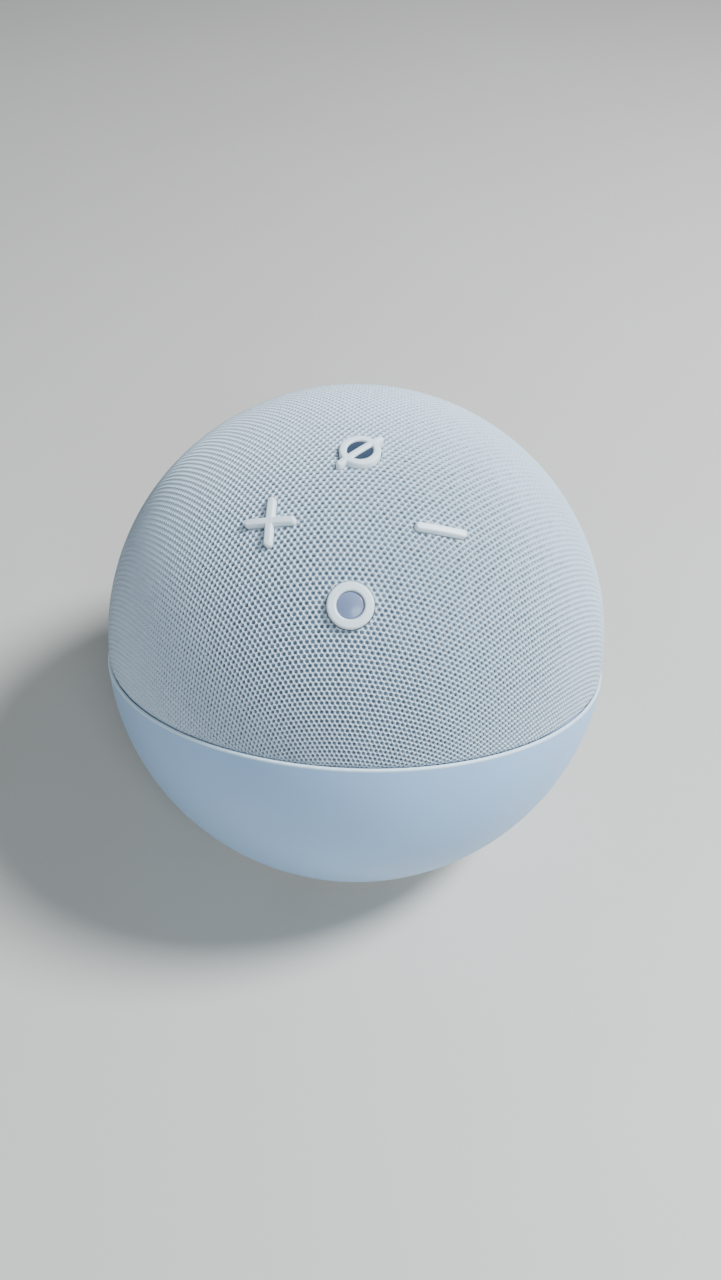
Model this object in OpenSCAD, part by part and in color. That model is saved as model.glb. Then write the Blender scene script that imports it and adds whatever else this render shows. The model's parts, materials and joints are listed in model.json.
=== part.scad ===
// A ball-shaped smart speaker with a knitted cover, a smooth lower housing and four buttons on top.
// Millimetres, +Z up. The origin is on the resting surface, under the middle of the ball.
// -Y is the back, with the sockets. The loudspeaker faces +Y.

/* [Body] */
// Diameter of the round body
body_d = 100; // [96:1:120]
// Diameter of the flat underside where the ball is cut off
base_d = 64.5; // [54:0.5:68]
// Wall of the lower housing
housing_wall = 2.2; // [1.8:0.1:2.8]
// Lean of the seam plane towards the front
seam_lean = 25; // [20:1:27]
// Drop of the seam plane below the middle of the ball
seam_drop = 2.5; // [1:0.1:4]
// Thickness of the housing's lip at the seam
lip_t = 0.7; // [0.5:0.05:1]
// Depth of the step behind the lip
lip_depth = 1.1; // [0.9:0.1:1.6]

/* [Knitted cover and grille] */
// Thickness of the knitted cover
fabric_t = 0.7; // [0.5:0.1:1]
// How far the cover lies below the round of the housing
fabric_step = 0.4; // [0.2:0.05:0.6]
// Thickness of the perforated grille shell
grille_t = 2; // [1.6:0.1:2.6]
// Diameter of a sound hole
sound_hole_d = 3.2; // [2:0.1:3.8]
// Distance between the rings of sound holes
sound_ring_step = 6.2; // [5.5:0.1:7]
// Number of rings of sound holes round the middle one
sound_rings = 4; // [3:1:4]
// Height of the grille shell's skirt inside the housing
skirt_h = 4.5; // [4:0.1:5]
// Thickness of the skirt
skirt_t = 1.4; // [1.2:0.1:1.6]
// Number of snap hooks on the skirt
snap_count = 6; // [4:1:8]

/* [Buttons] */
// Lean of the middle of the buttons towards the back
button_lean = 21; // [18:1:26]
// Distance of each button from the middle of the four
button_spread = 13.8; // [13:0.1:15]
// How far the buttons stand above the cover
button_raise = 0.8; // [0.5:0.1:1.2]
// Gap round each button in the cover and the grille
button_gap = 0.3; // [0.25:0.05:0.5]
// How far a button is pressed in
button_travel = 0.5; // [0.3:0.05:0.7]
// Length of the bars of the plus and the minus
bar_l = 8.8; // [7:0.1:9.6]
// Width of the bars
bar_w = 1.4; // [1.1:0.1:2]
// Outer diameter of the action ring
action_d = 7.5; // [6.6:0.1:9]
// Diameter of the action lens
lens_d = 4.4; // [3.6:0.1:5]
// Outer diameter of the microphone button's ring
mute_d = 7; // [6.4:0.1:8.4]
// Inner diameter of the microphone button's ring
mute_hole_d = 4.4; // [3.8:0.1:4.8]
// Length of the slash across the microphone button
slash_l = 10.2; // [9:0.1:10.6]
// Width of the slash
slash_w = 1.2; // [1:0.1:1.6]
// Diameter of the retaining flange under each button
flange_d = 11.2; // [11:0.1:12]
// Thickness of the flange
flange_t = 1.3; // [1:0.1:1.5]
// Diameter of a button's stem
stem_d = 3.6; // [3:0.1:4.4]
// Gap round the stem in its sleeve, and round the switch plunger
slide_gap = 0.1; // [0.06:0.01:0.1]
// Diameter of a sleeve of the button guide
sleeve_d = 6.4; // [5.8:0.1:7.8]
// Thickness of the button guide
guide_t = 1.6; // [1.2:0.1:2]
// Side of a switch
switch_w = 6; // [5:0.1:6.2]
// Height of a switch's body
switch_h = 2.6; // [2.4:0.1:3]
// Diameter of a switch's plunger
plunger_d = 3; // [2.6:0.1:3.4]
// How far a plunger stands above its switch
plunger_h = 1.4; // [1.2:0.1:1.6]

/* [Loudspeaker] */
// Diameter of the loudspeaker's flange
driver_d = 46; // [44:0.5:56]
// Tilt of the loudspeaker above the horizontal
driver_tilt = 10; // [5:1:12]
// Width of the loudspeaker's flange
flange_w = 6; // [5.5:0.1:6.5]
// Outer diameter of the magnet
magnet_d = 29; // [27:0.5:30]
// Thickness of the magnet
magnet_t = 6; // [5:0.5:7]
// Outer diameter of the voice coil's former
coil_d = 16.6; // [15:0.1:17]
// How far the cone moves each way
cone_travel = 1.5; // [1:0.1:1.8]
// Wall of the speaker box
box_wall = 2; // [1.6:0.1:2.4]
// Gap between the ball's wall line and the speaker box
box_margin = 5.5; // [5.4:0.1:6.5]
// Depth of the front part of the speaker box
baffle_depth = 6.9; // [6.5:0.1:7.5]

/* [Base and boards] */
// How far the foot stands below the base plate
foot_proud = 0.8; // [0.5:0.1:1.2]
// Thickness of the rubber foot ring
foot_h = 1.5; // [1.2:0.1:1.8]
// Width of the rubber foot ring
foot_w = 6; // [5:0.1:6.4]
// Thickness of the base plate
base_t = 2.4; // [2.2:0.1:2.8]
// Height of the light ring
light_ring_h = 3.4; // [3.2:0.1:4]
// Wall of the light ring
light_ring_t = 1.8; // [1.5:0.1:2]
// Number of lamps behind the light ring
lamp_count = 12; // [12:12:24]
// Thickness of the lamp board
lamp_board_t = 0.8; // [0.6:0.1:1]
// Thickness of the main board and the top board
board_t = 1.2; // [1:0.1:1.6]
// Bore of the 3.5 mm audio socket
audio_bore_d = 3.6; // [3.55:0.05:3.7]
// Depth of the audio socket
audio_depth = 14.2; // [14:0.1:15]
// Bore of the power socket
power_bore_d = 4.2; // [4.1:0.1:5.6]
// Depth of the power socket
power_depth = 9.5; // [9:0.1:10]
// Diameter of the power socket's centre pin
power_pin_d = 1.65; // [1.6:0.05:2.1]
// Diameter of the housing's hole for the power plug
power_hole_d = 8.4; // [8.2:0.1:9]
// Diameter of the housing's hole for the audio plug
audio_hole_d = 7.4; // [7:0.1:8]

/* [Hidden] */
$fn = 96;
tiny = 0.01;
fit = 0.05;
R = body_d / 2;
big = 2 * body_d;
function r_at(r, h) = sqrt(r * r - h * h);

// The base stack, from the resting surface up
base_z = foot_proud;
centre_h = base_z + r_at(R, base_d / 2);
base_lip_h = 1;
split_z = base_z + base_lip_h;
ring_z = split_z + fit;
ring_top = split_z + light_ring_h;
housing_z = ring_top + 3 * fit;
base_top = base_z + base_t;
base_r = r_at(R - light_ring_t, split_z - centre_h) - 0.35;
screw_r = base_r - 3.8;
foot_gap = 0.1;
lamp_board_z = base_top + 0.6;
lamp_board_top = lamp_board_z + lamp_board_t;
lamp_board_r = base_r - 0.2;
lamp_h = 0.6;
lamp_w = 3;
lamp_l = 1.6;
floor_t = 1.5;
floor_top = housing_z + floor_t;
floor_hole_r = screw_r - 9;
boss_h = 4;
boss_top = floor_top + boss_h;
base_boss_r = 2.8;
chassis_boss_r = 3;
chassis_angles = [-12, 90, 192];
pad_h = 0.5;
board_z = floor_top + pad_h;
board_top = board_z + board_t;
board_r = screw_r - chassis_boss_r - 0.3;
board_screw_r = board_r - 3.2;

// Screws, as head radius, head height, shank radius
base_screw = [1.9, 0.9, 1];
chassis_screw = [2.3, 1.3, 1.25];
board_screw = [1.6, 1, 0.8];
small_screw = [1.5, 0.9, 0.8];
base_screw_l = 8.5;
chassis_screw_l = 8;
small_screw_l = 4.6;
hole_gap = 0.2;

// The sockets on the main board
power_x = -9;
audio_x = 8.5;
power_size = [9, 11, 6];
audio_size = [6.4, 12.5, 5.4];
power_nose_d = 7.6;
audio_nose_d = 6;
socket_z = board_top + 2.9;
socket_gap = 0.4;
inner_r = R - housing_wall;
// How far back a round nose of radius r at x may reach and stay behind the outer face
function nose_y(x, r) = sqrt(R * R - pow(socket_z - r - centre_h, 2) - pow(abs(x) + r, 2)) - socket_gap;
// How far back a block that ends at x may reach inside the housing at height z
function wall_y(x, z) = sqrt(inner_r * inner_r - pow(z - centre_h, 2) - x * x) - socket_gap;
power_back = wall_y(power_x - power_size.x / 2, board_top);
power_nose = nose_y(power_x, power_nose_d / 2);
audio_nose = nose_y(audio_x, audio_nose_d / 2);
tab_w = min(28, 2 * (screw_r * sin(45) - base_boss_r - 0.5));
tab_y = wall_y(tab_w / 2, board_z);
socket_end = power_back - audio_size.y;

// The heat path on the main board
can_size = [min(22, 2 * (board_screw_r * sin(45) - board_screw[0] - 1.2)), min(18, board_r - 5), 2];
pad_size = [can_size.x - 6, can_size.y - 4, 0.8];
chip_h = 1;
spreader_t = 2.5;
spreader_z = board_top + can_size.z + pad_size.z;
spreader_top = spreader_z + spreader_t;
spreader_r = board_r - 0.7;
spreader_back = socket_end - 1.2;
sink_y = 2;

// The seam, in a frame at the middle of the ball that leans with it
seam_z = -seam_drop;
fabric_r = R - fabric_step;
fabric_in = fabric_r - fabric_t;
grille_r = fabric_in - fit;
grille_in = grille_r - grille_t;
lip_in = R - lip_t;
hem_r = lip_in - 0.25;
hem_z = seam_z - 0.6;
hem_top = seam_z + 0.9;
hem_w = 1.6;
dome_z = hem_z + fabric_t + fit;
skirt_z = seam_z - skirt_h;
skirt_r = r_at(inner_r, skirt_z) - 0.25;
skirt_in = skirt_r - skirt_t;
snap_z = skirt_z + 1.4;
snap_h = 1.2;
snap_out = 0.55;
lip_round = 0.28;

// The buttons and the top board, in a frame that leans with the buttons
button_arc = asin(button_spread / R);
button_top = fabric_r + button_raise;
flange_r = grille_in - 0.3;
flange_in = flange_r - flange_t;
symbol_z = flange_r - 0.55;
stem_r = symbol_z * sin(button_arc);
flange_low = flange_in * cos(button_arc + asin(flange_d / 2 / flange_in));
guide_top = flange_low - button_travel - 1.1;
guide_z = guide_top - guide_t;
plate_r = r_at(grille_in, guide_top) - 1.2;
guide_screw_r = plate_r - 2.7;
guide_boss_r = 2.4;
top_post_h = 5.8;
top_board_top = guide_z - top_post_h;
top_board_z = top_board_top - board_t;
top_board_r = plate_r - 2.2;
switch_top = top_board_top + switch_h;
plunger_top = switch_top + plunger_h;
plunger_l = plunger_h + 0.9;
sleeve_top = r_at(flange_in, stem_r + sleeve_d / 2) - button_travel - 0.6;
sleeve_z = plunger_top + 0.3;
post_r = 2.2;
post_ring_r = 8;
mic_ring_r = 17.5;
mic_turn = 22.5;
mic_h = 1;
mic_boot_r = 2.4;
mic_port_r = 0.6;
lens_z = flange_r + 0.35;
lens_foot_h = 0.65;
lens_foot_r = mute_hole_d / 2 + 0.2;

// The speaker box and the loudspeaker, in a frame that leans with the loudspeaker
box_r = R - box_margin;
box_z = board_top + power_size.z + 0.75;
box_top = top_board_z - 4.4;
driver_r = driver_d / 2;
baffle_z = r_at(box_r, driver_r + 5.8);
box_split = baffle_z - baffle_depth;
gasket_t = 0.6;
flange_back = baffle_z + gasket_t;
driver_flange_t = 1.5;
flange_front = flange_back + driver_flange_t;
basket_in = driver_r - flange_w;
basket_wall = 0.8;
driver_hole_r = basket_in + basket_wall + 0.4;
driver_screw_r = driver_r - 1.8;
cone_r = basket_in - 1.6;
plate_front = flange_front - 14;
plate_t = 2;
magnet_front = plate_front - plate_t;
yoke_front = magnet_front - magnet_t;
yoke_t = 2.5;
coil_r = coil_d / 2;
winding_t = 0.32;
plate_hole_r = coil_r + winding_t + 0.28;
pole_r = coil_r - 0.9;
spider_z = plate_front + 2.6;
spider_r = 14.2;
neck_z = plate_front + 5.3;
roll_r = (basket_in - cone_r) / 2 + 0.75;
roll_mid = (basket_in + cone_r) / 2;
surround_t = 0.35;
grommet_r = 2.4;
wire_r = 0.55;
wire_x = 0.95;
wire_y = -(socket_end + 3.4);

// The ribbon cable, between the speaker box and the outer shells
ribbon_t = 0.35;
ribbon_r = min(box_r + 0.5, skirt_in - ribbon_t - 0.2);
ribbon_w = 6;
connector_size = [7.4, 3, 1.6];
connector_in = 3.2;
slot_depth = 1.6;
ribbon_low = board_top + 0.6;
ribbon_high = top_board_top + 0.6;
connector_y = tab_y - connector_size.y - 0.3;

// Where each button sits round the middle of the four, as quarter turns from +X
MINUS = 0;
MUTE = 1;
PLUS = 2;
ACTION = 3;

// Frames

module at_centre() {
    translate([0, 0, centre_h]) children();
}

module seam_frame() {
    at_centre() rotate([-seam_lean, 0, 0]) children();
}

module button_frame() {
    at_centre() rotate([button_lean, 0, 0]) children();
}

module driver_frame() {
    at_centre() rotate([driver_tilt - 90, 0, 0]) children();
}

// The frame of one button, square to the ball, with its X kept along the speaker's X
module at_button(quarter) {
    button_frame()
        rotate([0, 0, 90 * quarter])
            rotate([0, button_arc, 0])
                rotate([0, 0, -90 * quarter])
                    children();
}

// The axis of one button's stem and switch, square to the top board
module at_stem(quarter) {
    button_frame() rotate([0, 0, 90 * quarter]) translate([stem_r, 0, 0]) children();
}

// Copies on a ring of radius r
module on_ring(count, r, start = 0) {
    for (i = [0 : count - 1]) {
        rotate([0, 0, start + i * 360 / count]) translate([r, 0, 0]) children();
    }
}

module on_angles(angles, r) {
    for (a = angles) {
        rotate([0, 0, a]) translate([r, 0, 0]) children();
    }
}

// Shared shapes

module tube(r_out, r_in, h) {
    difference() {
        cylinder(h = h, r = r_out);
        translate([0, 0, -tiny]) cylinder(h = h + 2 * tiny, r = r_in);
    }
}

// A block centred in X and Y that stands on z = 0
module block(size) {
    translate([-size.x / 2, -size.y / 2, 0]) cube(size);
}

// A spherical shell round the middle of the ball
module shell(r_out, r_in) {
    at_centre() difference() {
        sphere(r = r_out);
        sphere(r = r_in);
    }
}

// Everything between two heights
module slab(z0, z1) {
    translate([-big / 2, -big / 2, z0]) cube([big, big, z1 - z0]);
}

// A cross-head screw with its head on z = 0 and its shank below
module screw(size, length) {
    slot_w = size[0] * 0.32;
    slot_l = size[0] * 1.1;
    slot_h = size[1] * 0.6;
    difference() {
        union() {
            cylinder(h = size[1], r = size[0]);
            translate([0, 0, -length]) cylinder(h = length + tiny, r = size[2]);
        }
        translate([0, 0, size[1] - slot_h]) block([slot_l, slot_w, size[1]]);
        translate([0, 0, size[1] - slot_h]) block([slot_w, slot_l, size[1]]);
    }
}

// A bar with round ends, grown by g all round
module bar_2d(length, width, g = 0) {
    square([length - width, width + 2 * g], center = true);
    for (s = [-1, 1]) {
        translate([s * (length - width) / 2, 0]) circle(r = width / 2 + g);
    }
}

// Button symbols, each grown by g all round

module plus_2d(g = 0) {
    bar_2d(bar_l, bar_w, g);
    rotate(90) bar_2d(bar_l, bar_w, g);
}

module minus_2d(g = 0) {
    bar_2d(bar_l, bar_w, g);
}

module action_2d(g = 0) {
    circle(r = action_d / 2 + g);
}

module mute_2d(g = 0) {
    circle(r = mute_d / 2 + g);
    rotate(45) bar_2d(slash_l, slash_w, g);
}

// The two half-moons inside the microphone button's ring
module half_moons_2d(g = 0) {
    difference() {
        circle(r = mute_hole_d / 2 - g);
        rotate(45) square([mute_d, slash_w + 2 * g], center = true);
    }
}

// A symbol's prism, from inside its flange out past the ball
module symbol_prism(quarter, from = symbol_z) {
    at_button(quarter) translate([0, 0, from]) linear_extrude(height = R) children();
}

module symbol_openings() {
    symbol_prism(PLUS, grille_in - 2) plus_2d(button_gap);
    symbol_prism(MINUS, grille_in - 2) minus_2d(button_gap);
    symbol_prism(ACTION, grille_in - 2) action_2d(button_gap);
    symbol_prism(MUTE, grille_in - 2) mute_2d(button_gap);
}

// One button: its symbol above, a flange under the grille shell, and its stem
module button_solid(quarter) {
    intersection() {
        symbol_prism(quarter) children();
        at_centre() sphere(r = button_top);
    }
    intersection() {
        shell(flange_r, flange_in);
        at_button(quarter) cylinder(h = R, r = flange_d / 2);
    }
    intersection() {
        at_stem(quarter) translate([0, 0, plunger_top]) cylinder(h = R, r = stem_d / 2);
        at_centre() sphere(r = symbol_z);
    }
}

// Outer pieces

// The hem's outline, which turns in behind the housing's lip
module hem_outline() {
    dome_in = r_at(fabric_in, hem_top);
    dome_out = r_at(fabric_r, hem_top);
    polygon([
        [dome_in + 0.25, hem_top + 1],
        [dome_out - 0.25, hem_top + 1],
        [dome_out - fit, hem_top - 0.2],
        [dome_out - 0.2, seam_z + 0.35],
        [hem_r, seam_z - 0.05],
        [hem_r, hem_z],
        [hem_r - hem_w, hem_z],
        [hem_r - hem_w, hem_z + fabric_t],
        [dome_in + fit, hem_z + fabric_t]
    ]);
}

module fabric_cover() {
    color("#b9c6d3") difference() {
        union() {
            difference() {
                shell(fabric_r, fabric_in);
                seam_frame() slab(-big, hem_top);
            }
            seam_frame() rotate_extrude() hem_outline();
        }
        symbol_openings();
    }
}

module grille_outline() {
    intersection() {
        difference() {
            circle(r = grille_r);
            circle(r = grille_in);
        }
        translate([0, dome_z]) square([R, R]);
    }
    polygon([
        [skirt_in, skirt_z],
        [skirt_r, skirt_z],
        [skirt_r, dome_z],
        [grille_r - 0.6, dome_z],
        [grille_r - 0.6, dome_z + 2],
        [grille_in, dome_z + 5],
        [skirt_in, dome_z + 2]
    ]);
}

module sound_holes() {
    driver_frame() for (ring = [0 : sound_rings]) {
        tilt = ring * asin(sound_ring_step / grille_r);
        count = max(1, 6 * ring);
        for (i = [0 : count - 1]) {
            rotate([0, 0, i * 360 / count])
                rotate([0, tilt, 0])
                    translate([0, 0, grille_in - 3])
                        cylinder(h = grille_t + 5, r = sound_hole_d / 2);
        }
    }
}

module grille_shell() {
    color("#d8dde2") difference() {
        union() {
            seam_frame() rotate_extrude() grille_outline();
            seam_frame() for (i = [0 : snap_count - 1]) {
                rotate([0, 0, (i + 0.5) * 360 / snap_count]) rotate_extrude(angle = 8) polygon([
                    [skirt_r - 0.3, snap_z],
                    [skirt_r + snap_out, snap_z + 0.4],
                    [skirt_r + snap_out, snap_z + 0.7],
                    [skirt_r - 0.3, snap_z + snap_h]
                ]);
            }
            intersection() {
                button_frame() on_ring(4, guide_screw_r, 45)
                    translate([0, 0, guide_top]) cylinder(h = R, r = guide_boss_r);
                at_centre() sphere(r = grille_in + grille_t / 2);
            }
        }
        symbol_openings();
        sound_holes();
        button_frame() on_ring(4, guide_screw_r, 45)
            translate([0, 0, guide_top - 1])
                cylinder(h = 1 + small_screw_l - guide_t + 0.3, r = small_screw[2] + fit);
        button_frame() on_ring(4, mic_ring_r, mic_turn)
            translate([0, 0, guide_top]) cylinder(h = R, r = mic_port_r);
    }
}

// Rounds the housing's lip inside and out
module lip_rounding() {
    lip_out = r_at(R, seam_z);
    rotate_extrude() difference() {
        translate([lip_out - lip_round, seam_z - lip_round]) square(1);
        translate([lip_out - lip_round, seam_z - lip_round]) circle(r = lip_round);
    }
    rotate_extrude() difference() {
        translate([lip_in + lip_round - 1, seam_z - lip_round]) square([1, 1]);
        translate([lip_in + lip_round, seam_z - lip_round]) circle(r = lip_round);
    }
}

module lower_housing() {
    color("#b4cbe4") difference() {
        union() {
            difference() {
                shell(R, inner_r);
                slab(-big, housing_z);
            }
            intersection() {
                at_centre() sphere(r = R - housing_wall / 2);
                translate([0, 0, housing_z]) tube(R, floor_hole_r, floor_t);
            }
            on_ring(4, screw_r, 45)
                translate([0, 0, lamp_board_top]) cylinder(h = boss_top - lamp_board_top, r = base_boss_r);
            on_angles(chassis_angles, screw_r)
                translate([0, 0, housing_z]) cylinder(h = boss_top - housing_z, r = chassis_boss_r);
            on_ring(4, board_screw_r, 45)
                translate([0, 0, housing_z]) cylinder(h = board_z - housing_z, r = board_screw[0] + 0.6);
        }
        seam_frame() slab(seam_z, big);
        seam_frame() translate([0, 0, seam_z - lip_depth]) cylinder(h = R, r = lip_in);
        seam_frame() lip_rounding();
        seam_frame() translate([0, 0, snap_z - 0.4])
            cylinder(h = snap_h + 0.7, r = skirt_r + snap_out + 0.25);
        on_ring(4, screw_r, 45) cylinder(h = boss_top - 0.8, r = base_screw[2] + fit);
        on_angles(chassis_angles, screw_r) cylinder(h = R, r = chassis_screw[2] + hole_gap);
        on_angles(chassis_angles, screw_r) cylinder(h = housing_z + 1.6, r = chassis_screw[0] + hole_gap);
        on_ring(4, board_screw_r, 45) cylinder(h = R, r = board_screw[2] + fit);
        translate([power_x, -power_nose + 3, socket_z])
            rotate([90, 0, 0]) cylinder(h = R, r = power_hole_d / 2);
        translate([audio_x, -audio_nose + 3, socket_z])
            rotate([90, 0, 0]) cylinder(h = R, r = audio_hole_d / 2);
    }
}

module light_ring() {
    color("#e6edf2") intersection() {
        union() {
            shell(R, R - light_ring_t);
            intersection() {
                at_centre() sphere(r = R - light_ring_t / 2);
                translate([0, 0, lamp_board_top]) tube(R, base_r + 0.1, ring_top - lamp_board_top);
            }
        }
        slab(ring_z, ring_top);
    }
}

module base_plate() {
    color("#dfe6ec") difference() {
        union() {
            intersection() {
                at_centre() sphere(r = R);
                slab(base_z, split_z);
            }
            translate([0, 0, split_z - tiny]) cylinder(h = base_top - split_z + tiny, r = base_r);
            on_ring(4, screw_r, 45)
                translate([0, 0, base_top - tiny])
                    cylinder(h = lamp_board_z - base_top + tiny, r = base_boss_r);
        }
        tube(screw_r + foot_w / 2 + foot_gap, screw_r - foot_w / 2 - foot_gap, foot_h);
        on_ring(4, screw_r, 45) cylinder(h = R, r = base_screw[2] + hole_gap);
        on_ring(4, screw_r, 45) cylinder(h = foot_h + base_screw[1], r = base_screw[0] + hole_gap);
    }
}

module foot_ring() {
    r_in = screw_r - foot_w / 2;
    r_out = screw_r + foot_w / 2;
    edge = 0.3;
    color("#8b9299") rotate_extrude() polygon([
        [r_in + edge, 0],
        [r_out - edge, 0],
        [r_out, edge],
        [r_out, foot_h],
        [r_in, foot_h],
        [r_in, edge]
    ]);
}

// Base stack

module base_screws() {
    color("#9a9ea3") on_ring(4, screw_r, 45)
        translate([0, 0, foot_h + base_screw[1]])
            rotate([180, 0, 0])
                screw(base_screw, base_screw_l - base_screw[1]);
}

module lamp_board() {
    color("#2f6b45") translate([0, 0, lamp_board_z]) difference() {
        tube(lamp_board_r, floor_hole_r - 3, lamp_board_t);
        on_ring(4, screw_r, 45) translate([0, 0, -1]) cylinder(h = 4, r = base_screw[2] + hole_gap);
    }
}

module ring_lamps() {
    color("#f4f1dc") on_ring(lamp_count, lamp_board_r - lamp_l / 2)
        translate([0, 0, lamp_board_top]) block([lamp_l, lamp_w, lamp_h]);
}

module lamp_header() {
    pins = 3;
    pitch = 2;
    color("#23262a") translate([0, floor_hole_r - 1.6, lamp_board_top]) difference() {
        block([pins * pitch, pitch, board_z - lamp_board_top]);
        for (i = [0 : pins - 1]) {
            translate([(i - (pins - 1) / 2) * pitch, 0, 0.4]) block([0.8, 0.8, board_z]);
        }
    }
}

module main_board() {
    color("#2f6b45") translate([0, 0, board_z]) difference() {
        linear_extrude(height = board_t) union() {
            circle(r = board_r);
            translate([-tab_w / 2, -tab_y]) square([tab_w, tab_y]);
        }
        on_ring(4, board_screw_r, 45) translate([0, 0, -1]) cylinder(h = 4, r = board_screw[2] + hole_gap);
    }
}

module board_chips() {
    chip = [3.2, 2.6];
    color("#2a2d31") translate([0, sink_y, board_top]) {
        for (s = [-1, 1]) {
            for (i = [-1 : 1]) {
                translate([s * (can_size.x / 2 + 2.6), i * 4.4, 0]) block([chip.x, chip.y, chip_h]);
            }
        }
        translate([0, -can_size.y / 2 - 2.6, 0]) block([8, 3.4, chip_h]);
    }
}

module shield_can() {
    wall = 0.4;
    inner = can_size - [2 * wall, 2 * wall, wall];
    color("#b8bcc0") translate([0, sink_y, board_top]) difference() {
        block(can_size);
        translate([0, 0, -tiny]) block(inner + [0, 0, tiny]);
    }
}

module thermal_pad() {
    color("#7f97a8") translate([0, sink_y, board_top + can_size.z]) block(pad_size);
}

module heat_spreader() {
    color("#a9adb1") difference() {
        union() {
            translate([0, 0, spreader_z]) cylinder(h = spreader_t, r = spreader_r);
            on_ring(4, board_screw_r, 45)
                translate([0, 0, board_top])
                    cylinder(h = spreader_z - board_top + tiny, r = board_screw[0] + 0.6);
        }
        translate([-R, -spreader_back - R, 0]) cube([body_d, R, R]);
        on_ring(4, board_screw_r, 45) cylinder(h = R, r = board_screw[2] + hole_gap);
        on_ring(4, board_screw_r, 45)
            translate([0, 0, spreader_top - board_screw[1]]) cylinder(h = R, r = board_screw[0] + hole_gap);
        for (i = [-2 : 2]) {
            translate([i * 4.6, sink_y, spreader_top - 1]) block([2, 20, 2]);
        }
    }
}

module board_screws() {
    color("#9a9ea3") on_ring(4, board_screw_r, 45)
        translate([0, 0, spreader_top - board_screw[1]])
            screw(board_screw, spreader_top - board_screw[1] - housing_z - 0.2);
}

module power_socket() {
    color("#2b2e33") difference() {
        union() {
            translate([power_x - power_size.x / 2, -power_back, board_top]) cube(power_size);
            translate([power_x, 0, socket_z]) rotate([90, 0, 0]) translate([0, 0, power_back - 1])
                cylinder(h = power_nose - power_back + 1, r = power_nose_d / 2);
        }
        translate([power_x, 0, socket_z]) rotate([90, 0, 0]) translate([0, 0, power_nose - power_depth])
            cylinder(h = R, r = power_bore_d / 2);
    }
}

module power_socket_pin() {
    color("#c8a24a") translate([power_x, 0, socket_z]) rotate([90, 0, 0])
        translate([0, 0, power_nose - power_depth])
            cylinder(h = power_depth - 0.8, r = power_pin_d / 2);
}

module audio_socket() {
    color("#2b2e33") difference() {
        union() {
            translate([audio_x - audio_size.x / 2, -power_back, board_top]) cube(audio_size);
            translate([audio_x, -socket_end, socket_z])
                rotate([90, 0, 0]) cylinder(h = audio_nose - socket_end, r = audio_size.z / 2 - 0.15);
        }
        translate([audio_x, 0, socket_z]) rotate([90, 0, 0]) translate([0, 0, audio_nose - audio_depth])
            cylinder(h = R, r = audio_bore_d / 2);
    }
}

// The ribbon's path in the plane x = 0, drawn with y across and z up
module ribbon_outline() {
    high_y = r_at(ribbon_r + ribbon_t / 2, ribbon_high);
    low_y = r_at(ribbon_r + ribbon_t / 2, ribbon_low - centre_h);
    high_turn = asin((ribbon_high + ribbon_t) / (ribbon_r + ribbon_t / 2)) - button_lean;
    low_turn = asin((ribbon_low - centre_h) / (ribbon_r + ribbon_t / 2));
    translate([0, centre_h]) intersection() {
        difference() {
            circle(r = ribbon_r + ribbon_t);
            circle(r = ribbon_r);
        }
        polygon([
            [0, 0],
            body_d * [-cos(low_turn), sin(low_turn)],
            body_d * [-1, 0],
            body_d * [-cos(high_turn), sin(high_turn)]
        ]);
    }
    translate([0, centre_h]) rotate(button_lean)
        translate([-high_y, ribbon_high])
            square([high_y - top_board_r + connector_in - connector_size.y / 2 + slot_depth - 0.1, ribbon_t]);
    translate([-low_y, ribbon_low - ribbon_t / 2])
        square([low_y - connector_y - connector_size.y + slot_depth - 0.1, ribbon_t]);
}

module ribbon_cable() {
    color("#d9d2b8") rotate([90, 0, 90]) linear_extrude(height = ribbon_w, center = true) ribbon_outline();
}

// A connector that stands on z = 0 with its slot open towards -Y
module ribbon_connector(slot_z) {
    difference() {
        block(connector_size);
        translate([0, -connector_size.y / 2, slot_z])
            block([ribbon_w + 2 * hole_gap, 2 * slot_depth, ribbon_t + 0.2]);
    }
}

module ribbon_connectors() {
    color("#e8e4d6") {
        translate([0, -connector_y - connector_size.y / 2, board_top])
            ribbon_connector(ribbon_low - ribbon_t / 2 - board_top - 0.1);
        button_frame() translate([0, -top_board_r + connector_in, top_board_top])
            ribbon_connector(ribbon_high - top_board_top - 0.1);
    }
}

// Loudspeaker box

// The solid shape of the box, shrunk by inset on every side
module box_core(inset) {
    intersection() {
        driver_frame() sphere(r = box_r - inset);
        slab(box_z + inset, big);
        button_frame() slab(-big, box_top - inset);
        driver_frame() slab(-big, baffle_z - inset);
    }
}

module speaker_box_front() {
    lap = 1;
    color("#33373c") {
        difference() {
            union() {
                difference() {
                    box_core(0);
                    box_core(box_wall);
                    driver_frame() slab(-big, box_split);
                }
                driver_frame() on_ring(4, driver_screw_r, 45)
                    translate([0, 0, baffle_z - 5.4]) cylinder(h = 5.4 - tiny, r = small_screw[0] + 0.8);
                difference() {
                    box_core(box_wall + fit);
                    box_core(box_wall + fit + lap);
                    driver_frame() slab(-big, box_split - 2);
                    driver_frame() slab(box_split + 2, big);
                }
                difference() {
                    box_core(box_wall / 2);
                    box_core(box_wall + fit + lap);
                    driver_frame() slab(-big, box_split + tiny);
                    driver_frame() slab(box_split + 2, big);
                }
            }
            driver_frame() cylinder(h = R, r = driver_hole_r);
            driver_frame() on_ring(4, driver_screw_r, 45)
                translate([0, 0, baffle_z - 4.6]) cylinder(h = R, r = small_screw[2] + fit);
        }
    }
}

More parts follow.
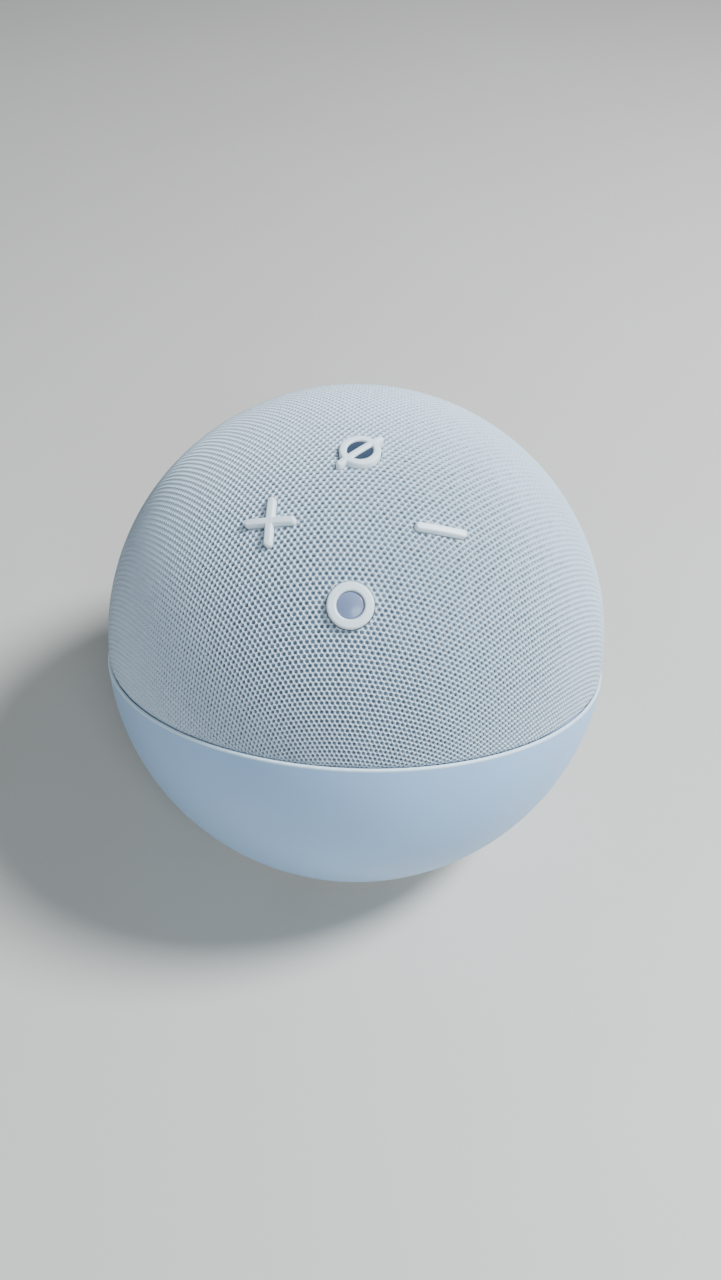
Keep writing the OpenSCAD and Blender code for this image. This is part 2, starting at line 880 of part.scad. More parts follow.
module speaker_box_rear() {
    color("#33373c") difference() {
        union() {
            difference() {
                box_core(0);
                box_core(box_wall);
            }
            on_angles(chassis_angles, screw_r)
                translate([0, 0, boss_top])
                    cylinder(h = box_z - boss_top + box_wall / 2, r = chassis_boss_r);
        }
        driver_frame() translate([0, 0, box_split]) cylinder(h = R, r = R);
        on_angles(chassis_angles, screw_r) cylinder(h = box_z + box_wall / 4, r = chassis_screw[2] + fit);
        translate([0, wire_y, 0]) cylinder(h = box_z + box_wall + 1, r = grommet_r);
    }
}

module chassis_screws() {
    color("#9a9ea3") on_angles(chassis_angles, screw_r)
        translate([0, 0, housing_z + 1.6]) rotate([180, 0, 0]) screw(chassis_screw, chassis_screw_l);
}

// A wire through a list of points, with round elbows
module wire(points, r) {
    elbow = 1.08;
    for (i = [0 : len(points) - 2]) {
        step = points[i + 1] - points[i];
        flat = norm([step.x, step.y]);
        translate(points[i])
            rotate([0, atan2(flat, step.z), atan2(step.y, step.x)])
                cylinder(h = norm(step), r = r);
    }
    for (i = [1 : len(points) - 2]) {
        translate(points[i]) sphere(r = r * elbow);
    }
}

module speaker_wires() {
    terminal_y = (plate_front + 1.1) * cos(driver_tilt) + (spider_r + 1.8) * sin(driver_tilt);
    terminal_z = centre_h + (plate_front + 1.1) * sin(driver_tilt) - (spider_r + 1.8) * cos(driver_tilt);
    floor_z = box_z + box_wall + 2.4;
    color("#b5433a") for (s = [-1, 1]) {
        wire([
            [s * wire_x, terminal_y, terminal_z],
            [s * wire_x, terminal_y - 8, floor_z],
            [s * wire_x, wire_y + 6, floor_z],
            [s * wire_x, wire_y, floor_z - 1],
            [s * wire_x, wire_y, board_top + 3.4]
        ], wire_r);
    }
}

module wire_plug() {
    color("#efeadb") translate([0, wire_y, board_top]) block([5, 3.6, 3.4]);
}

module wire_grommet() {
    lip = 0.7;
    color("#22252a") translate([0, wire_y, box_z - lip]) difference() {
        union() {
            cylinder(h = box_wall + 2 * lip, r = grommet_r - fit);
            cylinder(h = lip, r = grommet_r + lip);
            translate([0, 0, box_wall + lip]) cylinder(h = lip, r = grommet_r + lip);
        }
        for (s = [-1, 1]) {
            translate([s * wire_x, 0, -1]) cylinder(h = 2 * R, r = wire_r + fit);
        }
    }
}

// Loudspeaker, drawn along its own axis

module driver_gasket() {
    color("#3a3a3a") driver_frame() translate([0, 0, baffle_z + 2 * tiny]) difference() {
        tube(driver_r - 0.4, driver_hole_r + 0.2, gasket_t - 2 * tiny);
        on_ring(4, driver_screw_r, 45) translate([0, 0, -1]) cylinder(h = 4, r = small_screw[2] + hole_gap);
    }
}

module driver_basket() {
    foot_out = spider_r + 1.4;
    color("#3c4045") driver_frame() difference() {
        rotate_extrude() polygon([
            [plate_hole_r + 0.7, plate_front],
            [foot_out, plate_front],
            [foot_out, spider_z + 1.2],
            [basket_in + basket_wall, flange_front - 5],
            [basket_in + basket_wall, flange_back],
            [driver_r, flange_back],
            [driver_r, flange_front],
            [basket_in, flange_front],
            [basket_in, flange_front - 5],
            [spider_r + 0.4, spider_z + 1.2],
            [spider_r + 0.4, spider_z],
            [spider_r - 1.6, spider_z],
            [spider_r - 1.6, plate_front + 1.4],
            [plate_hole_r + 0.7, plate_front + 1.4]
        ]);
        on_ring(4, driver_screw_r, 45)
            translate([0, 0, flange_back - 1]) cylinder(h = 5, r = small_screw[2] + hole_gap);
        for (turn = [0, 90]) {
            rotate([0, 0, turn])
                translate([0, 0, spider_z + 1.8])
                    block([driver_d, spider_r, flange_back - spider_z - 3.6]);
        }
    }
}

module driver_screws() {
    color("#9a9ea3") driver_frame() on_ring(4, driver_screw_r, 45)
        translate([0, 0, flange_front]) screw(small_screw, small_screw_l + 1);
}

module driver_magnet() {
    color("#4a4d52") driver_frame() translate([0, 0, yoke_front])
        tube(magnet_d / 2, plate_hole_r + 1.3, magnet_t);
}

module magnet_top_plate() {
    color("#8d9196") driver_frame() translate([0, 0, magnet_front])
        tube(magnet_d / 2 - 0.3, plate_hole_r, plate_t);
}

module pole_yoke() {
    color("#8d9196") driver_frame() difference() {
        union() {
            translate([0, 0, yoke_front - yoke_t]) cylinder(h = yoke_t, r = magnet_d / 2 - 0.3);
            translate([0, 0, yoke_front - tiny]) cylinder(h = plate_front - yoke_front + 0.5, r = pole_r);
        }
        translate([0, 0, yoke_front - yoke_t - 1]) cylinder(h = R, r = 2);
    }
}

module voice_coil() {
    former_t = 0.4;
    winding_l = 4.5;
    color("#b87333") driver_frame() {
        translate([0, 0, magnet_front - 2.5]) tube(coil_r, coil_r - former_t, neck_z + 3.5 - magnet_front);
        translate([0, 0, magnet_front - 1.5]) tube(coil_r + winding_t, coil_r - former_t / 2, winding_l);
    }
}

// A pleated ring: the outline zigzags across two pleats
module driver_spider() {
    r_in = coil_r + fit;
    pleat = 0.45;
    thick = 0.3;
    step = (spider_r - 1.4 - r_in - 0.6) / 4;
    color("#b98a4e") driver_frame() translate([0, 0, spider_z]) rotate_extrude() polygon(concat(
        [[r_in, 0], [r_in + 0.6, 0]],
        [for (i = [1 : 3]) [r_in + 0.6 + i * step, i % 2 == 1 ? pleat : -pleat]],
        [[spider_r - 1.4, 0], [spider_r, 0], [spider_r, thick], [spider_r - 1.4, thick]],
        [for (i = [3 : -1 : 1]) [r_in + 0.6 + i * step, thick + (i % 2 == 1 ? pleat : -pleat)]],
        [[r_in + 0.6, thick], [r_in, thick]]
    ));
}

module driver_cone() {
    neck = coil_r + fit;
    wall = 0.5;
    lip_w = 0.8;
    color("#24272b") driver_frame() rotate_extrude() polygon([
        [neck, neck_z],
        [neck + wall, neck_z],
        [neck + wall, neck_z + 0.9],
        [cone_r - 0.4, flange_front - 0.5],
        [cone_r, flange_front - 0.5],
        [cone_r, flange_front],
        [cone_r - lip_w, flange_front],
        [neck, neck_z + 1.4]
    ]);
}

module dust_cap() {
    cap_r = 12;
    cap_t = 0.4;
    rim_z = neck_z + 2.3;
    rim_r = coil_r + 0.75;
    color("#1d2024") driver_frame() rotate_extrude() intersection() {
        translate([0, rim_z - r_at(cap_r, rim_r)]) difference() {
            circle(r = cap_r);
            circle(r = cap_r - cap_t);
        }
        translate([0, rim_z]) square([rim_r, R]);
    }
}

module driver_surround() {
    color("#15171a") driver_frame() rotate_extrude() translate([0, flange_front]) {
        intersection() {
            translate([roll_mid, 0]) difference() {
                circle(r = roll_r + surround_t / 2);
                circle(r = roll_r - surround_t / 2);
            }
            square([R, R]);
        }
        translate([cone_r - 0.75, 0])
            square([roll_mid - roll_r - cone_r + 0.75 + surround_t / 4, surround_t]);
        translate([roll_mid + roll_r - surround_t / 4, 0])
            square([driver_screw_r - small_screw[0] - 0.2 - roll_mid - roll_r, surround_t]);
    }
}

// Top board and buttons

module top_board() {
    color("#2f6b45") button_frame() translate([0, 0, top_board_z]) difference() {
        cylinder(h = board_t, r = top_board_r);
        on_ring(4, post_ring_r, 45) translate([0, 0, -1]) cylinder(h = 4, r = small_screw[2] + hole_gap);
    }
}

module top_board_screws() {
    color("#9a9ea3") button_frame() on_ring(4, post_ring_r, 45)
        translate([0, 0, top_board_z]) rotate([180, 0, 0]) screw(small_screw, small_screw_l);
}

module button_guide() {
    color("#e4e7ea") button_frame() difference() {
        union() {
            translate([0, 0, guide_z]) cylinder(h = guide_t, r = plate_r);
            on_ring(4, stem_r)
                translate([0, 0, sleeve_z]) cylinder(h = sleeve_top - sleeve_z, r = sleeve_d / 2);
            on_ring(4, post_ring_r, 45)
                translate([0, 0, top_board_top]) cylinder(h = top_post_h + tiny, r = post_r);
        }
        on_ring(4, stem_r) cylinder(h = R, r = stem_d / 2 + slide_gap);
        on_ring(4, guide_screw_r, 45) cylinder(h = R, r = small_screw[2] + hole_gap);
        on_ring(4, post_ring_r, 45)
            cylinder(h = top_board_z + small_screw_l + 0.4, r = small_screw[2] + fit);
        on_ring(4, mic_ring_r, mic_turn) cylinder(h = R, r = mic_port_r);
        for (s = [-1, 1]) {
            translate([0, s * (stem_r - 5.4), 0]) cylinder(h = R, r = 1.1);
        }
    }
}

module guide_screws() {
    color("#9a9ea3") button_frame() on_ring(4, guide_screw_r, 45)
        translate([0, 0, guide_z]) rotate([180, 0, 0]) screw(small_screw, small_screw_l);
}

module microphones() {
    color("#c9b26a") button_frame() on_ring(4, mic_ring_r, mic_turn)
        translate([0, 0, top_board_top]) difference() {
            block([3.5, 2.65, mic_h]);
            translate([0, 0, mic_h - 0.4]) cylinder(h = 1, r = 0.4);
        }
}

module mic_boots() {
    color("#2a2c30") button_frame() on_ring(4, mic_ring_r, mic_turn)
        translate([0, 0, top_board_top + mic_h]) tube(mic_boot_r, mic_port_r, top_post_h - mic_h);
}

module switch_bodies() {
    color("#34383d") for (quarter = [0 : 3]) {
        at_stem(quarter) translate([0, 0, top_board_top]) difference() {
            block([switch_w, switch_w, switch_h]);
            translate([0, 0, switch_h - 1.6]) cylinder(h = 2, r = plunger_d / 2 + slide_gap);
        }
    }
}

module status_lamps() {
    color("#f4f1dc") button_frame() for (s = [-1, 1]) {
        translate([0, s * (stem_r - 5.4), top_board_top]) block([1.6, 0.8, 0.6]);
    }
}

module plunger(quarter) {
    at_stem(quarter) translate([0, 0, plunger_top - plunger_l]) cylinder(h = plunger_l, r = plunger_d / 2);
}

module action_button() {
    color("#eef4f8") difference() {
        button_solid(ACTION) action_2d();
        at_button(ACTION) translate([0, 0, lens_z]) cylinder(h = R, r = lens_d / 2);
    }
}

module action_lens() {
    dome_r = 8;
    color("#8f9bc0") at_button(ACTION) intersection() {
        translate([0, 0, lens_z]) cylinder(h = R, r = lens_d / 2 - fit);
        translate([0, 0, button_top - dome_r]) sphere(r = dome_r);
    }
}

module action_plunger() {
    color("#16181b") plunger(ACTION);
}

module mute_button() {
    color("#eef4f8") difference() {
        button_solid(MUTE) mute_2d();
        at_button(MUTE) translate([0, 0, lens_z]) cylinder(h = lens_foot_h + fit, r = lens_foot_r);
        symbol_prism(MUTE, lens_z + lens_foot_h / 2) half_moons_2d();
    }
}

module mute_lens() {
    color("#5c6b80") intersection() {
        union() {
            at_button(MUTE) translate([0, 0, lens_z]) cylinder(h = lens_foot_h, r = lens_foot_r - fit);
            symbol_prism(MUTE, lens_z + lens_foot_h / 2) half_moons_2d(fit);
        }
        at_centre() sphere(r = button_top - 0.35);
    }
}

module mute_plunger() {
    color("#16181b") plunger(MUTE);
}

module volume_up_button() {
    color("#eef4f8") button_solid(PLUS) plus_2d();
}

module volume_up_plunger() {
    color("#16181b") plunger(PLUS);
}

module volume_down_button() {
    color("#eef4f8") button_solid(MINUS) minus_2d();
}

module volume_down_plunger() {
    color("#16181b") plunger(MINUS);
}

fabric_cover();
grille_shell();
lower_housing();
light_ring();
base_plate();
foot_ring();
base_screws();
lamp_board();
ring_lamps();
lamp_header();
main_board();
board_chips();
shield_can();
thermal_pad();
heat_spreader();
board_screws();
power_socket();
power_socket_pin();
audio_socket();
ribbon_cable();
ribbon_connectors();
speaker_wires();
wire_plug();
wire_grommet();
speaker_box_front();
speaker_box_rear();
chassis_screws();
driver_gasket();
driver_basket();
driver_screws();
driver_magnet();
magnet_top_plate();
pole_yoke();
voice_coil();
driver_spider();
driver_cone();
dust_cap();
driver_surround();
top_board();
top_board_screws();
button_guide();
guide_screws();
microphones();
mic_boots();
switch_bodies();
status_lamps();
action_button();
action_lens();
action_plunger();
mute_button();
mute_lens();
mute_plunger();
volume_up_button();
volume_up_plunger();
volume_down_button();
volume_down_plunger();
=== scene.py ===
import json
import math

import bpy
import numpy as np
from mathutils import Matrix, Vector


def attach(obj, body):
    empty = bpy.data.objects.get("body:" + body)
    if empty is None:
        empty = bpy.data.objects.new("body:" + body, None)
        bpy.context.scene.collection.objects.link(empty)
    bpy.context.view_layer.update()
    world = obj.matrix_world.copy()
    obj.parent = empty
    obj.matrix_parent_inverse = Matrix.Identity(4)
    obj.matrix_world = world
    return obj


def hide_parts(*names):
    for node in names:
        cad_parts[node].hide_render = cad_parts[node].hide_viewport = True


# Sizes in metres, the same as the CAD's
MM = 0.001
R = 50 * MM
BASE_D = 64.5 * MM
FOOT_PROUD = 0.8 * MM
CENTRE = np.array([0.0, 0.0, FOOT_PROUD + math.sqrt(R ** 2 - (BASE_D / 2) ** 2)])
SEAM_LEAN = math.radians(25)
SEAM_Z = -2.5 * MM
BUTTON_LEAN = math.radians(21)
BUTTON_SPREAD = 13.8 * MM
BUTTON_TOP = 50.4 * MM
BUTTON_ARC = math.asin(BUTTON_SPREAD / R)
FABRIC_R = 49.6 * MM
FLANGE_R = 46.55 * MM
FLANGE_T = 1.3 * MM
FLANGE_D = 11.2 * MM
SYMBOL_Z = FLANGE_R - 0.55 * MM
STEM_D = 3.6 * MM
PLUNGER_TOP = 36.6 * MM
BAR_L = 8.8 * MM
BAR_W = 1.4 * MM
ACTION_D = 7.5 * MM
LENS_D = 4.4 * MM
MUTE_D = 7.0 * MM
MUTE_HOLE_D = 4.4 * MM
SLASH_L = 10.2 * MM
SLASH_W = 1.2 * MM
MINUS, MUTE, PLUS, ACTION = range(4)

# The drawn caps: their rolled edges, and how far their walls and stems end short of what carries them
CAP_CELL = 0.14 * MM
CAP_ROUND = 0.36 * MM
CAP_WALL = BUTTON_TOP - SYMBOL_Z - 0.4 * MM
SNAP_SHARE = 0.35
STEM_RIM = 0.3 * MM
STEM_TOP = FLANGE_R * math.cos(BUTTON_ARC) - 0.6 * MM
AXIS_GAP = 0.05 * MM
POLE_ANGLE = 0.002
LENS_GAP = 0.05 * MM
LENS_DROP = 0.12 * MM
LENS_DOME_R = 8.0 * MM
LENS_EDGE = 0.3 * MM
LENS_FOOT = 46.95 * MM

# The knit: holes in rows, each row moved on by half a hole, and how it meets the buttons
FABRIC_GAP = 0.14 * MM
RIM_DROP = 0.22 * MM
HOLE_PITCH = 1.22 * MM
ROW_PITCH = 0.76 * MM
HOLE_SHARE = 0.84
FLOOR_SHARE = 0.58
HOLE_DEPTH = 0.4 * MM
FLOOR_DISH = 0.05 * MM
EDGE_SINK = 0.07 * MM
EDGE_SCATTER = 0.01 * MM
YARN_LIFT = 0.03 * MM
YARN_SCATTER = 0.012 * MM
NET_MARGIN = 0.4 * MM
PULL_REACH = 0.16 * MM
BUTTON_REACH = 7 * MM
BUTTON_DEPTH = 0.8 * FABRIC_R

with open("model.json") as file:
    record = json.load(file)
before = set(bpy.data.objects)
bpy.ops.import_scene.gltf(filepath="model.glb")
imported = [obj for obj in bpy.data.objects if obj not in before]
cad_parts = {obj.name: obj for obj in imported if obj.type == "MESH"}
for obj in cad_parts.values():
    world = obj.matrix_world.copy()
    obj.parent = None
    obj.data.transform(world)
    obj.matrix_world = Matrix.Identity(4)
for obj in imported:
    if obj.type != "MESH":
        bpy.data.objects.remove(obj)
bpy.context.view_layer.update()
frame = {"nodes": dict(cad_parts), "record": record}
nodes = frame["nodes"]
scene = bpy.context.scene
rng = np.random.default_rng(7)

GRADIENT_STEP = 0.01 * MM
SHARP_ANGLE = math.radians(32)
CAP_SHARP_ANGLE = math.radians(50)


# ---------------------------------------------------------------- frames


def turn(axis, angle):
    return np.array(Matrix.Rotation(angle, 3, axis))


SEAM_M = turn("X", -SEAM_LEAN)
BUTTON_M = turn("X", BUTTON_LEAN)


def button_matrix(quarter):
    """Turns a button's own axes into the model's, with the button's X kept along the speaker's X."""
    q = quarter * math.pi / 2
    return BUTTON_M @ turn("Z", q) @ turn("Y", BUTTON_ARC) @ turn("Z", -q)


# ---------------------------------------------------------------- outlines as distances


def d_circle(x, y, r):
    return np.hypot(x, y) - r


def d_bar(x, y, length, width, angle=0.0):
    c, s = math.cos(angle), math.sin(angle)
    along, across = x * c + y * s, -x * s + y * c
    half = (length - width) / 2
    return np.hypot(along - np.clip(along, -half, half), across) - width / 2


def d_minus(x, y):
    return d_bar(x, y, BAR_L, BAR_W)


def d_plus(x, y):
    return np.minimum(d_minus(x, y), d_bar(x, y, BAR_L, BAR_W, math.pi / 2))


def d_action(x, y):
    return d_circle(x, y, ACTION_D / 2)


def d_action_ring(x, y):
    return np.maximum(d_action(x, y), -d_circle(x, y, LENS_D / 2))


def d_mute(x, y):
    return np.minimum(d_circle(x, y, MUTE_D / 2), d_bar(x, y, SLASH_L, SLASH_W, math.pi / 4))


def d_moons(x, y):
    across = np.abs(y - x) / math.sqrt(2)
    return np.maximum(d_circle(x, y, MUTE_HOLE_D / 2), SLASH_W / 2 - across)


def d_mute_pierced(x, y):
    return np.maximum(d_mute(x, y), -d_moons(x, y))


OPENINGS = {MINUS: d_minus, MUTE: d_mute, PLUS: d_plus, ACTION: d_action}


def gradient(outline, x, y):
    """The direction straight away from the outline, of unit length."""
    step = GRADIENT_STEP
    gx = (outline(x + step, y) - outline(x - step, y)) / (2 * step)
    gy = (outline(x, y + step) - outline(x, y - step)) / (2 * step)
    size = np.maximum(np.hypot(gx, gy), 1e-6)
    return gx / size, gy / size


# ---------------------------------------------------------------- meshes


def make_object(name, verts, faces, material):
    mesh = bpy.data.meshes.new(name)
    mesh.from_pydata([tuple(v) for v in verts], [], [tuple(f) for f in faces])
    mesh.validate()
    mesh.shade_smooth()
    mesh.materials.append(material)
    obj = bpy.data.objects.new(name, mesh)
    scene.collection.objects.link(obj)
    return obj


# ---------------------------------------------------------------- node helpers


class Nodes:
    """A material's node tree with short ways to add and join nodes."""

    def __init__(self, name):
        self.material = bpy.data.materials.new(name)
        self.material.use_nodes = True
        self.tree = self.material.node_tree
        self.shader = self.tree.nodes["Principled BSDF"]

    def add(self, kind, **values):
        node = self.tree.nodes.new(kind)
        for key, value in values.items():
            setattr(node, key, value)
        return node

    def link(self, a, b):
        self.tree.links.new(a, b)

    def put(self, socket, value):
        if isinstance(value, bpy.types.NodeSocket):
            self.link(value, socket)
        else:
            socket.default_value = value

    def math(self, operation, a, b=0.0, c=0.0, clamp=False):
        node = self.add("ShaderNodeMath", operation=operation, use_clamp=clamp)
        for socket, value in zip(node.inputs, (a, b, c)):
            self.put(socket, value)
        return node.outputs[0]

    def object_point(self):
        return self.add("ShaderNodeTexCoord").outputs["Object"]

    def noise(self, point, scale, detail=3.0, roughness=0.55):
        node = self.add("ShaderNodeTexNoise")
        self.link(point, node.inputs["Vector"])
        node.inputs["Scale"].default_value = scale
        node.inputs["Detail"].default_value = detail
        node.inputs["Roughness"].default_value = roughness
        return node.outputs["Fac"]

    def ramp(self, value, stops):
        node = self.add("ShaderNodeValToRGB")
        elements = node.color_ramp.elements
        while len(elements) < len(stops):
            elements.new(0.5)
        for element, (place, colour) in zip(elements, stops):
            element.position = place
            element.color = (*colour, 1.0)
        self.link(value, node.inputs["Fac"])
        return node.outputs["Color"]

    def mix(self, factor, a, b, blend="MIX"):
        node = self.add("ShaderNodeMix", data_type="RGBA", blend_type=blend)
        self.put(node.inputs[0], factor)
        for socket, value in ((node.inputs[6], a), (node.inputs[7], b)):
            self.put(socket, value if isinstance(value, bpy.types.NodeSocket) else (*value, 1.0))
        return node.outputs[2]

    def scaled(self, value, low, high):
        node = self.add("ShaderNodeMapRange")
        self.link(value, node.inputs["Value"])
        node.inputs["To Min"].default_value = low
        node.inputs["To Max"].default_value = high
        return node.outputs["Result"]

    def bump(self, height, strength, distance, normal=None):
        node = self.add("ShaderNodeBump")
        node.inputs["Strength"].default_value = strength
        node.inputs["Distance"].default_value = distance
        self.link(height, node.inputs["Height"])
        if normal is not None:
            self.link(normal, node.inputs["Normal"])
        return node.outputs["Normal"]

    def set(self, **values):
        for key, value in values.items():
            self.put(self.shader.inputs[key.replace("_", " ")], value)


def shade(colour, factor):
    return tuple(min(1.0, c * factor) for c in colour)


def moulded(name, colour, rough=0.45, grain=1.0, fine=9000.0, **extra):
    """Moulded plastic: a fine spark-eroded grain, faint cloudiness and worn gloss."""
    look = Nodes(name)
    point = look.object_point()
    cloud = look.noise(point, 38.0, 4.0)
    texture = look.noise(point, fine, 2.0, 0.6)
    look.set(Base_Color=look.ramp(cloud, [(0.3, shade(colour, 0.965)), (0.7, shade(colour, 1.02))]))
    worn = look.noise(point, 210.0, 5.0, 0.7)
    look.set(Roughness=look.scaled(worn, rough - 0.05, rough + 0.07))
    look.set(Normal=look.bump(texture, 0.1 * grain, 0.00006))
    look.set(**extra)
    return look.material


def rubber(name, colour, rough=0.75):
    """Matt rubber or a soft pad, with dust in its grain."""
    look = Nodes(name)
    point = look.object_point()
    dust = look.noise(point, 120.0, 6.0, 0.7)
    look.set(Base_Color=look.ramp(dust, [(0.35, shade(colour, 0.8)), (0.75, shade(colour, 1.25))]))
    look.set(Roughness=look.scaled(dust, rough - 0.1, rough + 0.1))
    look.set(Normal=look.bump(look.noise(point, 4200.0, 3.0), 0.2, 0.0001))
    return look.material


def metal(name, colour, rough, brushed=True):
    """Bare metal, with fine streaks along X and Z, or an even grain."""
    look = Nodes(name)
    point = look.object_point()
    lines = look.add("ShaderNodeMapping")
    look.link(point, lines.inputs["Vector"])
    lines.inputs["Scale"].default_value = (60.0, 2600.0, 60.0) if brushed else (900.0, 900.0, 900.0)
    streak = look.noise(lines.outputs["Vector"], 1.0, 4.0, 0.6)
    look.set(Base_Color=look.ramp(streak, [(0.25, shade(colour, 0.8)), (0.8, shade(colour, 1.1))]))
    look.set(Metallic=1.0)
    look.set(Roughness=look.scaled(streak, rough - 0.08, rough + 0.12))
    look.set(Normal=look.bump(streak, 0.12, 0.00005))
    return look.material


def board(name, colour):
    """Solder mask over copper: tracks show as a slightly lighter green, with plated vias."""
    look = Nodes(name)
    point = look.object_point()
    tracks = look.add("ShaderNodeTexBrick")
    look.link(point, tracks.inputs["Vector"])
    tracks.inputs["Scale"].default_value = 420.0
    tracks.inputs["Mortar Size"].default_value = 0.09
    tracks.inputs["Color1"].default_value = (*colour, 1.0)
    tracks.inputs["Color2"].default_value = (*shade(colour, 0.9), 1.0)
    tracks.inputs["Mortar"].default_value = (*shade(colour, 1.7), 1.0)
    vias = look.add("ShaderNodeTexVoronoi")
    look.link(point, vias.inputs["Vector"])
    vias.inputs["Scale"].default_value = 330.0
    dots = look.ramp(vias.outputs["Distance"], [(0.09, (1.0, 1.0, 1.0)), (0.12, (0.0, 0.0, 0.0))])
    look.set(Base_Color=look.mix(dots, tracks.outputs["Color"], (0.72, 0.6, 0.32)))
    look.set(Roughness=look.scaled(look.noise(point, 160.0), 0.28, 0.45))
    look.set(Normal=look.bump(tracks.outputs["Fac"], 0.25, 0.00008))
    return look.material


def translucent(name, colour, rough, glow, coat=0.0):
    """Clear or milky plastic, with light that goes into it."""
    look = Nodes(name)
    point = look.object_point()
    cloud = look.noise(point, 260.0, 3.0)
    look.set(Base_Color=look.ramp(cloud, [(0.3, shade(colour, 0.92)), (0.7, shade(colour, 1.06))]))
    look.set(Roughness=look.scaled(look.noise(point, 900.0, 2.0), rough - 0.04, rough + 0.06))
    look.set(Subsurface_Weight=glow, Subsurface_Scale=0.002, Coat_Weight=coat, Coat_Roughness=0.12)
    look.set(Normal=look.bump(look.noise(point, 7000.0, 2.0), 0.05, 0.00005))
    return look.material


def woven(name, colour, pitch):
    """Dull cloth, with threads along all three axes."""
    look = Nodes(name)
    point = look.object_point()
    waves = []
    for axis in ("X", "Y", "Z"):
        wave = look.add("ShaderNodeTexWave", bands_direction=axis)
        look.link(point, wave.inputs["Vector"])
        wave.inputs["Scale"].default_value = pitch
        wave.inputs["Distortion"].default_value = 1.5
        waves.append(wave.outputs["Fac"])
    weave = look.math("MULTIPLY", look.math("ADD", waves[0], waves[1]), look.math("ADD", waves[2], 0.6))
    look.set(Base_Color=look.ramp(weave, [(0.1, shade(colour, 0.6)), (0.9, shade(colour, 1.2))]))
    look.set(Roughness=look.scaled(look.noise(point, 500.0), 0.77, 0.93))
    look.set(Normal=look.bump(weave, 0.5, 0.0001))
    return look.material


WHITE = (1.0, 1.0, 1.0)
YARN_COLOURS = [(0.25, (0.52, 0.60, 0.68)), (0.5, (0.72, 0.80, 0.87)), (0.8, (0.90, 0.95, 1.0))]
# Painted shade: the dark colours painted on the holes' floors
HOLE_SHADE_COLOURS = [(0.35, (0.13, 0.165, 0.20)), (0.7, (0.30, 0.36, 0.42))]
# The waves' sum at which the yarn ends and at which the hole is fully dark
YARN_LEVEL = -0.45
HOLE_LEVEL = 0.75


def knit(name):
    """Twisted light yarns round dark holes. UV counts one hole along a row and two rows across."""
    look = Nodes(name)
    coords = look.add("ShaderNodeTexCoord")
    split = look.add("ShaderNodeSeparateXYZ")
    look.link(coords.outputs["UV"], split.inputs["Vector"])
    point = look.object_point()
    wobble = look.scaled(look.noise(point, 620.0, 2.0), -0.1, 0.1)
    u = look.math("MULTIPLY", look.math("ADD", split.outputs["X"], wobble), 2 * math.pi)
    half_wobble = look.math("MULTIPLY", wobble, 0.5)
    v = look.math("MULTIPLY", look.math("ADD", split.outputs["Y"], half_wobble), 2 * math.pi)
    one = look.math("COSINE", look.math("ADD", u, v))
    two = look.math("COSINE", look.math("SUBTRACT", u, v))
    three = look.math("COSINE", look.math("MULTIPLY", v, 2.0))
    total = look.math("ADD", look.math("ADD", one, two), look.math("MULTIPLY", three, 0.75))
    hole = look.add("ShaderNodeMapRange", interpolation_type="SMOOTHSTEP")
    look.link(total, hole.inputs["Value"])
    hole.inputs["From Min"].default_value = YARN_LEVEL
    hole.inputs["From Max"].default_value = HOLE_LEVEL
    dark = hole.outputs["Result"]
    # The filaments run along the yarns, which lean both ways
    lean = look.add("ShaderNodeTexWave", bands_direction="DIAGONAL")
    look.link(coords.outputs["UV"], lean.inputs["Vector"])
    lean.inputs["Scale"].default_value = 2.3
    lean.inputs["Distortion"].default_value = 2.5
    lean.inputs["Detail"].default_value = 2.0
    fibre = look.noise(point, 5200.0, 3.0, 0.7)
    fibres = look.math("MULTIPLY", fibre, 0.6)
    leaning = look.math("MULTIPLY", lean.outputs["Fac"], 0.4)
    yarn = look.ramp(look.math("ADD", fibres, leaning), YARN_COLOURS)
    cloud = look.noise(point, 45.0, 3.0)
    clouded = look.ramp(cloud, [(0.3, (0.86, 0.87, 0.87)), (0.7, WHITE)])
    yarn = look.mix(0.5, yarn, clouded, "MULTIPLY")
    # One way of leaning catches more light than the other, and the holes' floors are painted dark as
    # painted shade
    slant = look.math("MULTIPLY_ADD", look.math("SUBTRACT", one, two), 0.12, 0.5, True)
    slanted = look.ramp(slant, [(0.2, (0.78, 0.8, 0.82)), (0.8, WHITE)])
    yarn = look.mix(0.8, yarn, slanted, "MULTIPLY")
    hole_shade = look.ramp(look.noise(point, 1500.0, 2.0), HOLE_SHADE_COLOURS)
    look.set(Base_Color=look.mix(dark, yarn, hole_shade))
    look.set(Roughness=look.scaled(fibre, 0.7, 0.95), Sheen_Weight=0.08, Sheen_Roughness=0.4)
    look.set(Specular_IOR_Level=0.25)
    round_yarn = look.math("MULTIPLY", total, -0.25)
    first = look.bump(round_yarn, 0.7, 0.00022)
    look.set(Normal=look.bump(fibre, 0.35, 0.00007, first))
    return look.material


PLASTIC_BLUE = (0.38, 0.58, 0.84)
# A paler blue painted along the lip, as a painted highlight
LIP_HIGHLIGHT_BLUE = (0.74, 0.87, 0.97)
LIP_FOOT = SEAM_Z - 0.62 * MM
LIP_TOP = SEAM_Z - 0.3 * MM
NEAR_WHITE = (0.88, 0.95, 0.97)


